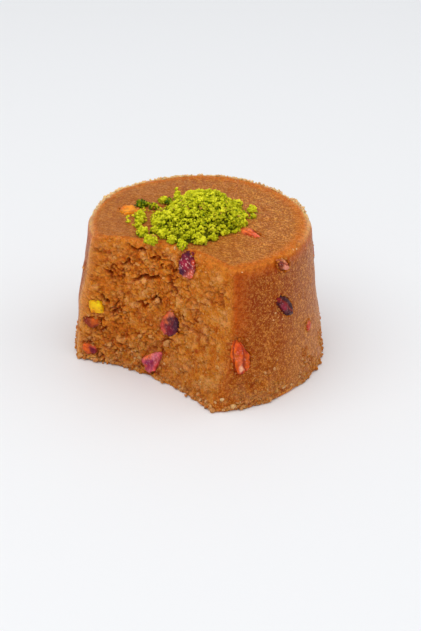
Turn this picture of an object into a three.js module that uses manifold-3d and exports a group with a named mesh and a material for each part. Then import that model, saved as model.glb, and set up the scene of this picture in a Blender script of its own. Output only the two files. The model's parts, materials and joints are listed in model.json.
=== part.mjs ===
// Semolina halva, turned out of a small tapered mould so that its wide end is the foot. A spoonful
// has been cut away at the front, and the cut shows the crumbly inside. Whole and chopped
// pistachio kernels lie in the halva, and a heap of ground pistachio lies on the top.
//
// Millimetres, +Z up. The origin is the centre of the mould's round foot, and the cut faces -Y.

import * as THREE from "three";
import { mergeVertices } from "three/addons/utils/BufferGeometryUtils.js";
import Module from "manifold-3d";

const wasm = await Module();
wasm.setup();

// The mould's shape: a straight taper from the foot up to the rim.
const FOOT_RADIUS = 42;
const RIM_RADIUS = 36.2;
const HEIGHT = 48;
const FOOT_ROUND = 1;

// The rounding of the rim: even along the mould's edge, sharper where the halva broke away, and
// broad at the right corner, where the spoon pressed it down.
const RIM_ROUND = { mould: 2.6, broken: 2.4, corner: 4.4 };

// The cut: at each height it joins two corners of the wall, given in degrees about the axis, and
// bows inwards between them. The corners are rounded, and the broken face has lumps.
const CUT_LEFT = { foot: -131, rim: -123 };
const CUT_RIGHT = { foot: -49, rim: -38 };
const CUT_BOW = { foot: 5.2, rim: 5 };
const CORNER_ROUND = 4;
const LUMP_DEPTH = 0.8;

// The heap of ground pistachio: an uneven mound, longer from front to back than across.
const HEAP = { x: -0.8, y: -2.2, across: 15.2, along: 18.4, height: 7.4, edge: 1.3 };

// What touches keeps this much air, so that no two solids share a surface.
const GAP = 0.3;

// How finely the surfaces are divided.
const CUT_COLUMNS = 34;
const WALL_COLUMNS = 34;
const TOP_RINGS = 3;
const ROUND_RINGS = 4;
const SIDE_RINGS = 18;
const KERNEL_RINGS = 7;
const KERNEL_COLUMNS = 10;
const HEAP_RINGS = 8;
const HEAP_COLUMNS = 36;

const COLOURS = {
  halva: 0xa8652e,
  purple: 0x6b2a38,
  red: 0xb6461e,
  flesh: 0xd9a214,
  ground: 0xa3b41c,
};

// The kernels. On the side a kernel sits at an angle about the axis in degrees and a height, and on
// the top at x and y. Spin turns its long axis away from straight up, or from +Y on the top. Size is
// length, width and thickness, and sink is how far its middle lies under the halva's surface.
const KERNELS = [
  { name: "kernel_cut_top", skin: "purple", side: [-63.8, 43], spin: -8, size: [9.6, 6.8, 5], sink: 0.9 },
  { name: "kernel_cut_middle", skin: "purple", side: [-77.5, 20.8], spin: -22, size: [9.4, 7, 5.5], sink: 1.1 },
  { name: "kernel_cut_low", skin: "purple", side: [-90.4, 6.2], spin: -38, size: [10.4, 7, 5], sink: 0.9 },
  { name: "kernel_cut_yellow", skin: "flesh", side: [-126.2, 21.3], spin: 8, size: [5, 4.8, 4], sink: 0.6, block: 0.55 },
  { name: "kernel_cut_brown", skin: "red", side: [-127.8, 14.8], spin: 70, size: [6, 4.6, 4], sink: 0.9 },
  { name: "kernel_cut_corner", skin: "purple", side: [-128, 4.4], spin: 78, size: [5.4, 4.2, 4], sink: 0.6 },
  { name: "kernel_wall_corner", skin: "red", side: [-34.8, 18.8], spin: 6, size: [13.2, 7, 6], sink: 1.1, ridge: 0.09 },
  { name: "kernel_wall_dark", skin: "purple", side: [-9.2, 31.2], spin: 40, size: [11, 5.2, 4.6], sink: 1.2 },
  { name: "kernel_wall_small", skin: "red", side: [9.6, 18.5], spin: 10, size: [4.4, 3.8, 2.8], sink: 0.7 },
  { name: "kernel_rim_pink", skin: "red", side: [-8.4, 44.9], spin: 62, size: [6.6, 4.4, 2.8], sink: 0.8 },
  { name: "kernel_back_dark", skin: "purple", side: [42, 35], spin: 24, size: [9, 5.2, 4.6], sink: 1.1 },
  { name: "kernel_back_red", skin: "red", side: [69, 13.5], spin: -34, size: [12.5, 7, 5.6], sink: 1.2, ridge: 0.08 },
  { name: "kernel_back_yellow", skin: "flesh", side: [103, 28], spin: 64, size: [5.4, 4.6, 4], sink: 0.7, block: 0.6 },
  { name: "kernel_back_purple", skin: "purple", side: [139, 38.5], spin: 12, size: [8.2, 5, 4.4], sink: 1 },
  { name: "kernel_left_red", skin: "red", side: [166, 15], spin: -52, size: [9.8, 6, 5], sink: 1.2 },
  { name: "kernel_left_dark", skin: "purple", side: [198, 31], spin: 35, size: [7.4, 4.8, 4.2], sink: 1 },
  { name: "kernel_top_red", skin: "red", top: [18.8, 1.5], spin: -99, size: [8.8, 4.6, 3.2], sink: 0.8 },
  { name: "kernel_top_orange", skin: "flesh", top: [-22.6, -8.6], spin: -30, size: [6.6, 6.2, 3.2], sink: 0.9, block: 0.7 },
];

const { degToRad, lerp, smoothstep } = THREE.MathUtils;

// ---------------------------------------------------------------------------- surfaces

// A closed skin of rings between two poles. point(ring, column) gives a corner, ring 0 and the last
// ring are the poles, and the columns run anticlockwise seen from the first pole.
function closedSkin(rings, columns, point) {
  const corners = [point(0, 0)];
  for (let ring = 1; ring < rings; ring++) {
    for (let column = 0; column < columns; column++) corners.push(point(ring, column));
  }
  corners.push(point(rings, 0));
  const last = corners.length - 1;
  const corner = (ring, column) => 1 + (ring - 1) * columns + (column % columns);
  const faces = [];
  for (let column = 0; column < columns; column++) {
    faces.push(0, corner(1, column), corner(1, column + 1));
    for (let ring = 1; ring < rings - 1; ring++) {
      const [a, b] = [corner(ring, column), corner(ring, column + 1)];
      const [c, d] = [corner(ring + 1, column), corner(ring + 1, column + 1)];
      faces.push(a, c, b, b, c, d);
    }
    faces.push(corner(rings - 1, column), last, corner(rings - 1, column + 1));
  }
  const geometry = new THREE.BufferGeometry();
  geometry.setAttribute("position", new THREE.Float32BufferAttribute(corners.flat(), 3));
  geometry.setIndex(faces);
  geometry.computeVertexNormals();
  return geometry;
}

// ---------------------------------------------------------------------------- the halva's side

function wallRadius(height) {
  return lerp(FOOT_RADIUS, RIM_RADIUS, height / HEIGHT);
}

// The cut's two corners and its bow at a height. The right corner runs out to the side only near
// the foot, where the spoon left a toe, and the left corner leans in steadily.
function cutAt(height) {
  const up = height / HEIGHT;
  const left = degToRad(lerp(CUT_LEFT.foot, CUT_LEFT.rim, up ** 2));
  const right = degToRad(lerp(CUT_RIGHT.rim, CUT_RIGHT.foot, (1 - up) ** 3));
  const cornerAt = (angle) => {
    return new THREE.Vector2(Math.cos(angle), Math.sin(angle)).multiplyScalar(wallRadius(height));
  };
  return { from: cornerAt(left), to: cornerAt(right), bow: lerp(CUT_BOW.foot, CUT_BOW.rim, up) };
}

// How far from the axis a ray at this angle meets the cut, and infinite where it runs clear of it.
// The bow is a parabola between the corners, so the distance is found in a few even steps.
function cutRadius(angle, height) {
  const { from, to, bow } = cutAt(height);
  const middle = from.clone().add(to).multiplyScalar(0.5);
  const along = to.clone().sub(from);
  const half = along.length() / 2;
  along.normalize();
  const inward = new THREE.Vector2(-along.y, along.x);
  const ray = new THREE.Vector2(Math.cos(angle), Math.sin(angle));
  const facing = ray.dot(inward);
  if (facing > -0.05) return Infinity;
  let radius = middle.dot(inward) / facing;
  for (let step = 0; step < 12; step++) {
    const share = (radius * ray.dot(along) - middle.dot(along)) / half;
    const bowed = middle.dot(inward) + bow * (1 - Math.min(share * share, 4));
    radius = (radius + bowed / facing) / 2;
  }
  return radius;
}

// The smaller of two distances, with the corner where they cross rounded over a width.
function softMin(a, b, width) {
  const overlap = Math.max(width - Math.abs(a - b), 0) / width;
  return Math.min(a, b) - (overlap * overlap * width) / 4;
}

function smoothSide(angle, height) {
  return softMin(wallRadius(height), cutRadius(angle, height), CORNER_ROUND);
}

// How much of the side at a place is broken: 0 on the moulded wall and 1 well inside the cut.
function brokenShare(radius, height) {
  return smoothstep(wallRadius(height) - radius, 1, 5);
}

// Lumps of the broken face, where waves in three directions cross. It is at most 1 either way.
function lumps(x, z) {
  const wide = Math.sin(0.46 * x + 0.9) + Math.sin(0.23 * x + 0.4 * z) + Math.sin(0.22 * x - 0.41 * z + 2);
  const close = Math.sin(0.86 * x + 2.1) + Math.sin(0.44 * x + 0.75 * z) + Math.sin(0.4 * x - 0.77 * z + 1);
  return 0.18 * wide + 0.15 * close;
}

// The side as it is: smooth where the mould shaped it, and lumpy where it was broken.
function sideRadius(angle, height) {
  const radius = smoothSide(angle, height);
  return radius + LUMP_DEPTH * brokenShare(radius, height) * lumps(radius * Math.cos(angle), height);
}

// ---------------------------------------------------------------------------- the halva block

function rimRound(angle) {
  const broken = brokenShare(smoothSide(angle, HEIGHT), HEIGHT);
  const nearCorner = Math.exp(-(((angle - degToRad(CUT_RIGHT.rim)) / 0.3) ** 2));
  const even = lerp(RIM_ROUND.mould, RIM_ROUND.broken, broken);
  return lerp(even, RIM_ROUND.corner, nearCorner);
}

// Columns are close together over the cut and wider apart round the moulded wall.
function columnAngle(column) {
  const [start, end] = [CUT_LEFT.foot - 4, CUT_RIGHT.rim + 8];
  if (column < CUT_COLUMNS) return degToRad(lerp(start, end, column / CUT_COLUMNS));
  return degToRad(lerp(end, start + 360, (column - CUT_COLUMNS) / WALL_COLUMNS));
}

// The profile from the middle of the top to the middle of the foot, for one rounding of the rim.
// Each ring has its height, how far it is drawn in from the side, and its share of the way out.
function profile(round) {
  const rings = [];
  for (let i = 0; i < TOP_RINGS; i++) {
    rings.push({ height: HEIGHT, inset: round, share: i / TOP_RINGS });
  }
  for (let i = 0; i <= ROUND_RINGS; i++) {
    const turn = (Math.PI / 2) * (i / ROUND_RINGS);
    const drop = round * (1 - Math.cos(turn));
    rings.push({ height: HEIGHT - drop, inset: round * (1 - Math.sin(turn)), share: 1 });
  }
  for (let i = 1; i <= SIDE_RINGS; i++) {
    rings.push({ height: lerp(HEIGHT - round, FOOT_ROUND, i / SIDE_RINGS), inset: 0, share: 1 });
  }
  rings.push({ height: 0, inset: FOOT_ROUND, share: 1 });
  rings.push({ height: 0, inset: FOOT_ROUND, share: 0 });
  return rings;
}

function halvaGeometry() {
  const columns = CUT_COLUMNS + WALL_COLUMNS;
  const angles = Array.from({ length: columns }, (_, column) => columnAngle(column));
  const profiles = angles.map((angle) => profile(rimRound(angle)));
  return closedSkin(profiles[0].length - 1, columns, (ring, column) => {
    const angle = angles[column];
    const { height, inset, share } = profiles[column][ring];
    const radius = share * (sideRadius(angle, height) - inset);
    return [radius * Math.cos(angle), radius * Math.sin(angle), height];
  });
}

// ---------------------------------------------------------------------------- the kernels

// A kernel, long along X and with its face along Z: an oval with a blunt end and a narrower one.
// block under 1 squares it off as a chopped piece, and ridge gives it the lengthwise folds of skin.
function kernelGeometry([length, width, thickness], { block = 1, ridge = 0 }) {
  const power = (value) => Math.sign(value) * Math.abs(value) ** block;
  return closedSkin(KERNEL_RINGS, KERNEL_COLUMNS, (ring, column) => {
    const down = (Math.PI * ring) / KERNEL_RINGS;
    const round = (-2 * Math.PI * column) / KERNEL_COLUMNS;
    const folds = 1 + ridge * Math.cos(5 * round);
    const girth = power(Math.sin(down)) * (1 - 0.14 * Math.cos(down)) * folds;
    return [
      (length / 2) * power(Math.cos(down)),
      (width / 2) * girth * power(Math.cos(round)),
      (-thickness / 2) * girth * power(Math.sin(round)),
    ];
  });
}

// Where a kernel sits: the surface point, the outward normal and the way that counts as up.
function seatOf({ side, top }) {
  if (top) {
    return {
      point: new THREE.Vector3(top[0], top[1], HEIGHT),
      normal: new THREE.Vector3(0, 0, 1),
      up: new THREE.Vector3(0, 1, 0),
    };
  }
  const at = (angle, height) => {
    const radius = smoothSide(angle, height);
    return new THREE.Vector3(radius * Math.cos(angle), radius * Math.sin(angle), height);
  };
  const [angle, height] = [degToRad(side[0]), side[1]];
  const across = at(angle + 0.02, height).sub(at(angle - 0.02, height));
  const up = at(angle, height + 0.5).sub(at(angle, height - 0.5)).normalize();
  return { point: at(angle, height), normal: across.cross(up).normalize(), up };
}

// A kernel in its seat. grownBy makes it larger all round, for the pocket that it lies in.
function kernelMesh(kernel, grownBy = 0) {
  const size = kernel.size.map((extent) => extent + 2 * grownBy);
  const material = new THREE.MeshStandardMaterial({ color: COLOURS[kernel.skin], roughness: 0.45 });
  const mesh = new THREE.Mesh(kernelGeometry(size, kernel), material);
  const { point, normal, up } = seatOf(kernel);
  const long = up.clone().applyAxisAngle(normal, degToRad(kernel.spin));
  const wide = new THREE.Vector3().crossVectors(normal, long);
  mesh.quaternion.setFromRotationMatrix(new THREE.Matrix4().makeBasis(long, wide, normal));
  mesh.position.copy(point).addScaledVector(normal, -kernel.sink);
  mesh.name = kernel.name;
  mesh.updateMatrixWorld();
  return mesh;
}

// ---------------------------------------------------------------------------- the ground pistachio

// The heap's outline at an angle, as a share of its oval, with small bays and tongues.
function heapOutline(angle) {
  const lean = 1 + 0.05 * Math.cos(angle - degToRad(190)) - 0.05 * Math.cos(4 * angle);
  return lean + 0.04 * Math.sin(5 * angle + 0.6) + 0.035 * Math.sin(9 * angle + 2);
}

function heapGeometry() {
  const foot = HEIGHT + GAP;
  return closedSkin(HEAP_RINGS + 2, HEAP_COLUMNS, (ring, column) => {
    const angle = (2 * Math.PI * column) / HEAP_COLUMNS;
    const share = ring > HEAP_RINGS + 1 ? 0 : Math.min(ring / HEAP_RINGS, 1);
    const x = share * HEAP.across * heapOutline(angle) * Math.cos(angle);
    const y = share * HEAP.along * heapOutline(angle) * Math.sin(angle);
    const clumps = 0.6 * Math.sin(0.9 * x + 0.7) * Math.sin(0.8 * y) * (1 - share ** 4);
    const crown = HEAP.edge + (HEAP.height - HEAP.edge) * (1 - share ** 2.4) ** 0.8 + clumps;
    return [HEAP.x + x, HEAP.y + y, foot + (ring > HEAP_RINGS ? 0 : crown)];
  });
}

// ---------------------------------------------------------------------------- putting it together

// A mesh as a solid that can be joined and cut, in the part's own frame.
function solidOf(mesh) {
  const bare = new THREE.BufferGeometry();
  bare.setAttribute("position", mesh.geometry.getAttribute("position").clone());
  bare.setIndex(mesh.geometry.getIndex());
  const merged = mergeVertices(bare.applyMatrix4(mesh.matrixWorld), 1e-4);
  return new wasm.Manifold(
    new wasm.Mesh({
      numProp: 3,
      vertProperties: merged.getAttribute("position").array,
      triVerts: new Uint32Array(merged.getIndex().array),
    }),
  );
}

function geometryOf(solid) {
  const { vertProperties, triVerts } = solid.getMesh();
  const geometry = new THREE.BufferGeometry();
  geometry.setAttribute("position", new THREE.BufferAttribute(vertProperties, 3));
  geometry.setIndex(new THREE.BufferAttribute(triVerts, 1));
  geometry.computeVertexNormals();
  return geometry;
}

// The block, with a pocket round each kernel that keeps the gap.
function halvaMesh() {
  const material = new THREE.MeshStandardMaterial({ color: COLOURS.halva, roughness: 0.5 });
  const mesh = new THREE.Mesh(halvaGeometry(), material);
  const pocketed = KERNELS.reduce(
    (block, kernel) => block.subtract(solidOf(kernelMesh(kernel, GAP))),
    solidOf(mesh),
  );
  mesh.geometry = geometryOf(pocketed);
  mesh.name = "halva_block";
  return mesh;
}

function heapMesh() {
  const material = new THREE.MeshStandardMaterial({ color: COLOURS.ground, roughness: 0.8 });
  const mesh = new THREE.Mesh(heapGeometry(), material);
  mesh.name = "ground_pistachio";
  return mesh;
}

const halva = new THREE.Group();
halva.name = "semolina_halva";
halva.add(halvaMesh(), heapMesh());
for (const kernel of KERNELS) halva.add(kernelMesh(kernel));

export default halva;
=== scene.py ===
import json

import bpy
import numpy as np
from mathutils import Matrix, Vector


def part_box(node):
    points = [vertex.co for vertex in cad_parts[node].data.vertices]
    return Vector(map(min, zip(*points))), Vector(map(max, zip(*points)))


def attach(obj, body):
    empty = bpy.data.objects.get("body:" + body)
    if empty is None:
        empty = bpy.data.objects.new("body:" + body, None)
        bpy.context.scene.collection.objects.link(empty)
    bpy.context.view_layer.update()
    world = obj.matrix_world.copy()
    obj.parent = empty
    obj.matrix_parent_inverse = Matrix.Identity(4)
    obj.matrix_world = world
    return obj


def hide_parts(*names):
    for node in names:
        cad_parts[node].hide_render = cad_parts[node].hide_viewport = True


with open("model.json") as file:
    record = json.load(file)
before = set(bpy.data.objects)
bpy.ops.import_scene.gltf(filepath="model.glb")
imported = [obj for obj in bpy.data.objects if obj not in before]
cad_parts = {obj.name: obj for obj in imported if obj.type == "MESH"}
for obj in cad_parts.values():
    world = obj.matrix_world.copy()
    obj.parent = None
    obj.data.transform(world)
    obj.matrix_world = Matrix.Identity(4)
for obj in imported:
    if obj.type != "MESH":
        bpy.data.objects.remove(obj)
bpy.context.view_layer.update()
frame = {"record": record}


# ------------------------------------------------------------------------------- the view
# The camera stands in front of the cut and to the right of it, 44 cm away, and looks down at the
# block by 30 degrees. It leans over by one degree. Lengths below are in millimetres until a mesh
# is made.
MM = 0.001
EYE = np.array([230.4, -322.0, 241.5])
AIM = np.array([11.59, -9.52, 20.0])
LEAN = np.radians(0.93)
LENS = 76.8
SENSOR = 36.0

camera = bpy.data.objects.new("camera", bpy.data.cameras.new("camera"))
camera.data.lens = LENS
camera.data.sensor_width = SENSOR
camera.data.clip_start = 10 * MM
back = (EYE - AIM) / np.linalg.norm(EYE - AIM)
level = np.cross([0.0, 0.0, 1.0], back)
level /= np.linalg.norm(level)
upright = np.cross(back, level)
side = np.cos(LEAN) * level + np.sin(LEAN) * upright
turned = Matrix([side, np.cross(back, side), back]).transposed().to_4x4()
camera.matrix_world = Matrix.Translation(EYE * MM) @ turned
bpy.context.collection.objects.link(camera)
bpy.context.scene.camera = camera


# ------------------------------------------------------------------------------- the halva block
# Semolina toasted in butter, cooked with syrup and pressed warm into a small tapered mould, then
# turned out with its wide end down. A spoon has cut the front away, so that one side is crumbly
# and the rest keeps the mould's smooth, close-grained skin.
FOOT_RADIUS = 42.0
RIM_RADIUS = 36.2
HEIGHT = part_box("halva_block")[1][2] / MM
FOOT_ROUND = 1.0
# The angles in degrees where the cut meets the wall, and how far it bows in between them.
CUT_LEFT = {"foot": -131.0, "rim": -123.0}
CUT_RIGHT = {"foot": -49.0, "rim": -38.0}
CUT_BOW = {"foot": 5.2, "rim": 5.0}
CORNER_ROUND = 3.4
RIM_ROUND = {"plain": 2.4, "corner": 3.0}
# The surface's columns, by how many lie between which angles, and its rows.
COLUMNS = (250, 150, 120)
COLUMN_ENDS = (-136, -30, 70, 224)
ROWS = dict(top=32, rim=12, side=136, foot=4, base=5)
# The angle of the side that faces away from the camera, and the two sizes of grain in the finish.
FAR_SIDE = np.radians(125)
GRAIN_SIZES = (0.42, 1.0)

# Each kernel's seat: on the side its angle and height, or on the top its x and y, then how far its
# long axis turns from upright, its length, width and thickness, and how deep its middle lies.
SEATS = {
    "kernel_cut_top": dict(side=(-63.8, 43), spin=-8, size=(9.6, 6.8, 5), sink=0.9),
    "kernel_cut_middle": dict(side=(-77.5, 20.8), spin=-22, size=(9.4, 7, 5.5), sink=1.1),
    "kernel_cut_low": dict(side=(-90.4, 6.2), spin=-38, size=(10.4, 7, 5), sink=0.9),
    "kernel_cut_yellow": dict(side=(-126.2, 21.3), spin=8, size=(5, 4.8, 4), sink=0.6),
    "kernel_cut_brown": dict(side=(-127.8, 14.8), spin=70, size=(6, 4.6, 4), sink=0.9),
    "kernel_cut_corner": dict(side=(-128, 4.4), spin=78, size=(5.4, 4.2, 4), sink=0.6),
    "kernel_wall_corner": dict(side=(-34.8, 18.8), spin=6, size=(13.2, 7, 6), sink=1.1),
    "kernel_wall_dark": dict(side=(-9.2, 31.2), spin=40, size=(11, 5.2, 4.6), sink=1.2),
    "kernel_wall_small": dict(side=(9.6, 18.5), spin=10, size=(4.4, 3.8, 2.8), sink=0.7),
    "kernel_rim_pink": dict(side=(-8.4, 44.9), spin=62, size=(6.6, 4.4, 2.8), sink=0.8),
    "kernel_back_dark": dict(side=(42, 35), spin=24, size=(9, 5.2, 4.6), sink=1.1),
    "kernel_back_red": dict(side=(69, 13.5), spin=-34, size=(12.5, 7, 5.6), sink=1.2),
    "kernel_back_yellow": dict(side=(103, 28), spin=64, size=(5.4, 4.6, 4), sink=0.7),
    "kernel_back_purple": dict(side=(139, 38.5), spin=12, size=(8.2, 5, 4.4), sink=1),
    "kernel_left_red": dict(side=(166, 15), spin=-52, size=(9.8, 6, 5), sink=1.2),
    "kernel_left_dark": dict(side=(198, 31), spin=35, size=(7.4, 4.8, 4.2), sink=1),
    "kernel_top_red": dict(top=(18.8, 1.5), spin=-99, size=(8.8, 4.6, 3.2), sink=0.8),
    "kernel_top_orange": dict(top=(-22.6, -8.6), spin=-30, size=(6.6, 6.2, 3.2), sink=0.9),
}

# Tears in the cut, where the spoon dragged: from and to, each an angle and a height, and a depth.
TEARS = [
    ((-110.5, 44.9), (-100.9, 44.1), 1.5),
    ((-107.7, 34.2), (-92.1, 35.8), 1.9),
    ((-97.9, 43.4), (-93, 41.8), 1.1),
    ((-115.5, 38.9), (-109.9, 38.9), 1.2),
    ((-121.6, 34.6), (-118.8, 32.7), 1.1),
    ((-96.2, 27.8), (-88, 27.4), 1.5),
    ((-105.6, 24.9), (-97.6, 24.7), 1.1),
    ((-124.2, 24.6), (-122, 22.8), 1.9),
    ((-120, 19.6), (-117.6, 21.4), 1.4),
    ((-125, 14.2), (-122.6, 13.4), 1.7),
    ((-79.1, 40.3), (-70.5, 39.4), 1.0),
    ((-67.2, 24.6), (-64.6, 23.4), 1.1),
    ((-82.3, 15.6), (-78.1, 13.4), 1.4),
]
# Pits in the moulded wall, where a lump stayed in the mould: angle, height, radius and depth.
PITS = [
    (3.5, 10.6, 2.3, 1.3),
    (9.0, 5.6, 2.0, 1.2),
    (-13.1, 2.2, 1.6, 1.0),
    (-15.9, 19.8, 0.9, 0.6),
    (-29.0, 7.5, 1.8, 1.3),
    (-34.2, 3.4, 1.2, 0.9),
    (-40.5, 22.6, 0.8, 0.7),
    (-36.2, 44.6, 0.7, 0.3),
    (-3.6, 44.0, 1.0, 0.5),
    (58.0, 24.0, 1.6, 0.9),
    (121.0, 9.0, 2.2, 1.2),
    (178.0, 39.0, 1.3, 0.8),
    (214.0, 12.0, 1.9, 1.1),
]
# Stains in the cut, where red from a skin has run: angle, height and radius.
STAINS = [
    (-54.0, 18.7, 1.3),
    (-55.6, 15.1, 1.1),
    (-121.2, 42.4, 1.5),
    (-101.0, 45.3, 1.4),
    (-96.4, 45.5, 1.4),
    (-103.3, 18.0, 0.8),
    (-73.0, 9.0, 0.9),
]
# Broad bulges of the wall: angle and height of the middle, half widths along both, and how far.
BULGES = [
    (32, 10, 24, 18, 0.5),
    (-137, 21, 11, 8, 0.8),
    (-135.5, 32.5, 4, 2.2, 0.5),
]


def wall_radius(height):
    """The mould's taper: a straight line from the foot's radius up to the rim's."""
    return FOOT_RADIUS + (RIM_RADIUS - FOOT_RADIUS) * height / HEIGHT


def cut_ends(height):
    """The angles where the cut meets the wall. The left one runs with the square of the height, and
    the right one with the cube of what is left of it."""
    up = height / HEIGHT
    left = CUT_LEFT["foot"] + (CUT_LEFT["rim"] - CUT_LEFT["foot"]) * up**2
    right = CUT_RIGHT["rim"] + (CUT_RIGHT["foot"] - CUT_RIGHT["rim"]) * (1 - up) ** 3
    return np.radians(left), np.radians(right)


def cut_radius(angle, height):
    """How far from the axis the cut lies. At each height it is a parabola that bows inwards between
    two points of the wall, and the place where a ray meets it is closed in on by halving."""
    left, right = cut_ends(height)
    start = np.stack([np.cos(left), np.sin(left)], -1) * wall_radius(height)[..., None]
    end = np.stack([np.cos(right), np.sin(right)], -1) * wall_radius(height)[..., None]
    bow = CUT_BOW["foot"] + (CUT_BOW["rim"] - CUT_BOW["foot"]) * height / HEIGHT
    half = np.linalg.norm(end - start, axis=-1) / 2
    along = (end - start) / (2 * half[..., None])
    inward = np.stack([-along[..., 1], along[..., 0]], -1)
    ray = np.stack([np.cos(angle), np.sin(angle)], -1)
    depth = ((start + end) / 2 * inward).sum(-1)
    shift = ((start + end) / 2 * along).sum(-1)
    facing = np.minimum((ray * inward).sum(-1), -0.05)
    radius = depth / facing
    for _ in range(12):
        share = (radius * (ray * along).sum(-1) - shift) / half
        radius = (radius + (depth + bow * (1 - np.minimum(share**2, 4))) / facing) / 2
    return np.where((ray * inward).sum(-1) > -0.05, 1000.0, radius)


def side_radius(angle, height):
    """The smaller of the wall's and the cut's distance, less a quarter of the square of how far the
    two overlap within the corner's width, which rounds the corner."""
    angle, height = np.broadcast_arrays(np.asarray(angle, float), np.asarray(height, float))
    wall, cut = wall_radius(height), cut_radius(angle, height)
    overlap = np.maximum(CORNER_ROUND - np.abs(wall - cut), 0) / CORNER_ROUND
    return np.minimum(wall, cut) - overlap**2 * CORNER_ROUND / 4


def ramp(value, low, high):
    """0 below low, 1 above high, and a smooth S between: three squares less two cubes."""
    share = np.clip((value - low) / (high - low), 0, 1)
    return share * share * (3 - 2 * share)


def bell(value, width):
    """1 at nothing and falling to nothing on both sides as a bell curve of a given half width."""
    return np.exp(-((value / width) ** 2))


def scrambled(cells, salt):
    """A random-looking number from 0 to 1 for each cell of a lattice: its three whole numbers are
    multiplied by large odd numbers, folded together and stirred by shifts."""
    whole = np.floor(cells).astype(np.int64).astype(np.uint32)
    mixed = whole[..., 0] * np.uint32(73856093) ^ whole[..., 1] * np.uint32(19349663)
    mixed ^= whole[..., 2] * np.uint32(83492791) ^ np.uint32((salt * 2654435761) % 2**32)
    for shift, factor in ((16, 0x7FEB352D), (15, 0x846CA68B), (16, 1)):
        mixed ^= mixed >> np.uint32(shift)
        mixed *= np.uint32(factor)
    return mixed / 2.0**32


def hills(points, size, salt):
    """Soft random hills from 0 to 1: each corner of a cubic lattice has a random height, and between
    the corners the heights are blended by an S curve along each axis."""
    spot = points / size
    cell = np.floor(spot)
    share = spot - cell
    share = share * share * (3 - 2 * share)
    total = np.zeros(points.shape[:-1])
    for corner in np.ndindex(2, 2, 2):
        weight = np.where(np.array(corner) == 1, share, 1 - share).prod(-1)
        total += weight * scrambled(cell + corner, salt)
    return total


def grains(points, size, salt):
    """Packed round grains: each cell of a lattice holds one grain's centre at a random place. Gives
    the distance to the nearest and the second nearest centre, in cells, and the nearest's number."""
    spot = points / size
    cell = np.floor(spot)
    first = np.full(points.shape[:-1], 9.0)
    second = first.copy()
    number = np.zeros_like(first)
    for step in np.ndindex(3, 3, 3):
        near = cell + np.array(step) - 1
        place = np.stack([scrambled(near, salt + axis) for axis in range(3)], -1)
        gap = np.linalg.norm(spot - near - 0.1 - 0.8 * place, axis=-1)
        closer = gap < first
        second = np.where(closer, first, np.minimum(second, gap))
        number = np.where(closer, scrambled(near, salt + 3), number)
        first = np.where(closer, gap, first)
    return first, second, number


def spot_on_side(degrees, height):
    """A place on the side, the way up along it and the way out of it. The way out is across the
    surface's two slopes, which come from points near by."""
    near = np.array([[0, 0], [0.02, 0], [-0.02, 0], [0, 0.5], [0, -0.5]])
    angle = np.radians(degrees) + near[:, 0]
    radius = side_radius(angle, height + near[:, 1])
    spots = np.stack([radius * np.cos(angle), radius * np.sin(angle), height + near[:, 1]], -1)
    up = (spots[3] - spots[4]) / np.linalg.norm(spots[3] - spots[4])
    out = np.cross(spots[1] - spots[2], up)
    return spots[0], up, out / np.linalg.norm(out)


def seat_of(seat):
    """A kernel's middle and its three axes, as columns: along it, across it and out of the halva.
    The long axis is the way up, turned by the spin about the way out."""
    if "top" in seat:
        point, up, out = np.array([*seat["top"], HEIGHT]), np.array([0, 1.0, 0]), np.array([0, 0, 1.0])
    else:
        point, up, out = spot_on_side(*seat["side"])
    spin = np.radians(seat["spin"])
    along = np.cos(spin) * up + np.sin(spin) * np.cross(out, up)
    return point - out * seat["sink"], np.stack([along, np.cross(out, along), out], -1)


def kernel_reach(points, seat, spare):
    """How far points lie from a kernel's middle, where 1 is at its skin and what is spare round it.
    Along each of its axes the distance is divided by half the size and the spare."""
    middle, axes = seat_of(seat)
    return np.linalg.norm((points - middle) @ axes / (np.array(seat["size"]) / 2 + spare), axis=-1)


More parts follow.
